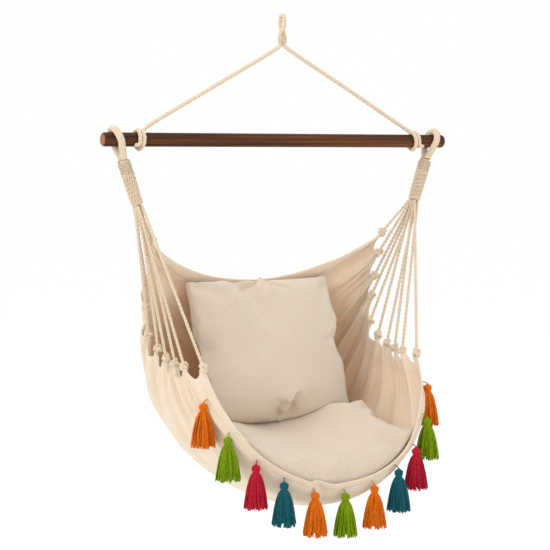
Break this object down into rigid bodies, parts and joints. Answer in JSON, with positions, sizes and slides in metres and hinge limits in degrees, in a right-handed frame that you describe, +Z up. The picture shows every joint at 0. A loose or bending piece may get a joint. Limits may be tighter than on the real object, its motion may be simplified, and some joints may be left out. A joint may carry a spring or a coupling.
{
  "type": "hammock chair",
  "caption": "Hanging canvas sling seat with two loose cushions, gathered by cords under a wooden spreader bar and one rope, with tassels along the front hem.",
  "frame": {"origin": "the point in the top of the rope's eye where a hook carries the chair", "axes": "+Z up, +X along the spreader bar to the right as seen from the front, -Y to the front"},
  "size_m": [1, 0.5901, 1.2779],
  "materials": {
    "wood": "dark stain, satin varnish",
    "rope": "twisted natural cotton",
    "canvas": "plain-woven natural canvas",
    "cover": "plain-woven natural canvas",
    "filling": "white fibre wadding",
    "orange_yarn": "dyed cotton yarn",
    "lime_yarn": "dyed cotton yarn",
    "teal_yarn": "dyed cotton yarn",
    "raspberry_yarn": "dyed cotton yarn"
  },
  "bodies": {
    "hanger": {"spreader_bar": "wood", "hanging_rope": "rope", "rope_whipping": "rope"},
    "sling": {"left_bar_loop": "rope", "right_bar_loop": "rope", "left_neck_wrap": "rope", "right_neck_wrap": "rope", "left_cord_01": "rope", "left_cord_02": "rope", "left_cord_03": "rope", "left_cord_04": "rope", "left_cord_05": "rope", "left_cord_06": "rope", "left_cord_07": "rope", "left_cord_08": "rope", "left_cord_09": "rope", "left_cord_10": "rope", "right_cord_01": "rope", "right_cord_02": "rope", "right_cord_03": "rope", "right_cord_04": "rope", "right_cord_05": "rope", "right_cord_06": "rope", "right_cord_07": "rope", "right_cord_08": "rope", "right_cord_09": "rope", "right_cord_10": "rope", "seat_cloth": "canvas", "tassel_thread_01": "orange_yarn", "tassel_thread_02": "lime_yarn", "tassel_thread_03": "raspberry_yarn", "tassel_thread_04": "teal_yarn", "tassel_thread_05": "orange_yarn", "tassel_thread_06": "lime_yarn", "tassel_thread_07": "orange_yarn", "tassel_thread_08": "teal_yarn", "tassel_thread_09": "raspberry_yarn", "tassel_thread_10": "lime_yarn", "tassel_thread_11": "orange_yarn"},
    "seat_cushion": {"seat_cushion_cover": "cover", "seat_cushion_pad": "filling"},
    "back_cushion": {"back_cushion_cover": "cover", "back_cushion_pad": "filling"},
    "tassel_01": {"tassel_01": "orange_yarn"},
    "tassel_02": {"tassel_02": "lime_yarn"},
    "tassel_03": {"tassel_03": "raspberry_yarn"},
    "tassel_04": {"tassel_04": "teal_yarn"},
    "tassel_05": {"tassel_05": "orange_yarn"},
    "tassel_06": {"tassel_06": "lime_yarn"},
    "tassel_07": {"tassel_07": "orange_yarn"},
    "tassel_08": {"tassel_08": "teal_yarn"},
    "tassel_09": {"tassel_09": "raspberry_yarn"},
    "tassel_10": {"tassel_10": "lime_yarn"},
    "tassel_11": {"tassel_11": "orange_yarn"}
  },
  "joints": [
    {"name": "sling_swing", "type": "hinge", "parent": "hanger", "child": "sling", "pos_m": [0, 0, -0.31], "axis": [1, 0, 0], "range_deg": [-25, 25]},
    {"name": "seat_cushion_lift", "type": "slide", "parent": "sling", "child": "seat_cushion", "axis": [0, -0.5, 0.866], "range_m": [0, 0.35]},
    {"name": "back_cushion_lift", "type": "slide", "parent": "seat_cushion", "child": "back_cushion", "axis": [0, -0.6, 0.8], "range_m": [0, 0.35]},
    {"name": "tassel_01_swing", "type": "hinge", "parent": "sling", "child": "tassel_01", "pos_m": [-0.32582, -0.18086, -0.92963], "axis": [-0.3679, 0.9299, 0], "range_deg": [-5, 45]},
    {"name": "tassel_02_swing", "type": "hinge", "parent": "sling", "child": "tassel_02", "pos_m": [-0.28801, -0.23201, -1.00604], "axis": [-0.7121, 0.7021, 0], "range_deg": [-15, 45]},
    {"name": "tassel_03_swing", "type": "hinge", "parent": "sling", "child": "tassel_03", "pos_m": [-0.23074, -0.26473, -1.07181], "axis": [-0.7141, 0.7, 0], "range_deg": [-15, 45]},
    {"name": "tassel_04_swing", "type": "hinge", "parent": "sling", "child": "tassel_04", "pos_m": [-0.16503, -0.28414, -1.1169], "axis": [-0.8595, 0.5111, 0], "range_deg": [-15, 45]},
    {"name": "tassel_05_swing", "type": "hinge", "parent": "sling", "child": "tassel_05", "pos_m": [-0.08544, -0.29526, -1.1474], "axis": [-0.9923, 0.1242, 0], "range_deg": [-15, 45]},
    {"name": "tassel_06_swing", "type": "hinge", "parent": "sling", "child": "tassel_06", "pos_m": [0, -0.29692, -1.15817], "axis": [-1, 0, 0], "range_deg": [-15, 45]},
    {"name": "tassel_07_swing", "type": "hinge", "parent": "sling", "child": "tassel_07", "pos_m": [0.08544, -0.29526, -1.1474], "axis": [-0.9923, -0.1242, 0], "range_deg": [-15, 45]},
    {"name": "tassel_08_swing", "type": "hinge", "parent": "sling", "child": "tassel_08", "pos_m": [0.16503, -0.28414, -1.1169], "axis": [-0.8595, -0.5111, 0], "range_deg": [-15, 45]},
    {"name": "tassel_09_swing", "type": "hinge", "parent": "sling", "child": "tassel_09", "pos_m": [0.23074, -0.26473, -1.07181], "axis": [-0.7141, -0.7, 0], "range_deg": [-15, 45]},
    {"name": "tassel_10_swing", "type": "hinge", "parent": "sling", "child": "tassel_10", "pos_m": [0.28801, -0.23201, -1.00604], "axis": [-0.7121, -0.7021, 0], "range_deg": [-15, 45]},
    {"name": "tassel_11_swing", "type": "hinge", "parent": "sling", "child": "tassel_11", "pos_m": [0.32582, -0.18086, -0.92963], "axis": [-0.3679, -0.9299, 0], "range_deg": [-5, 45]}
  ]
}
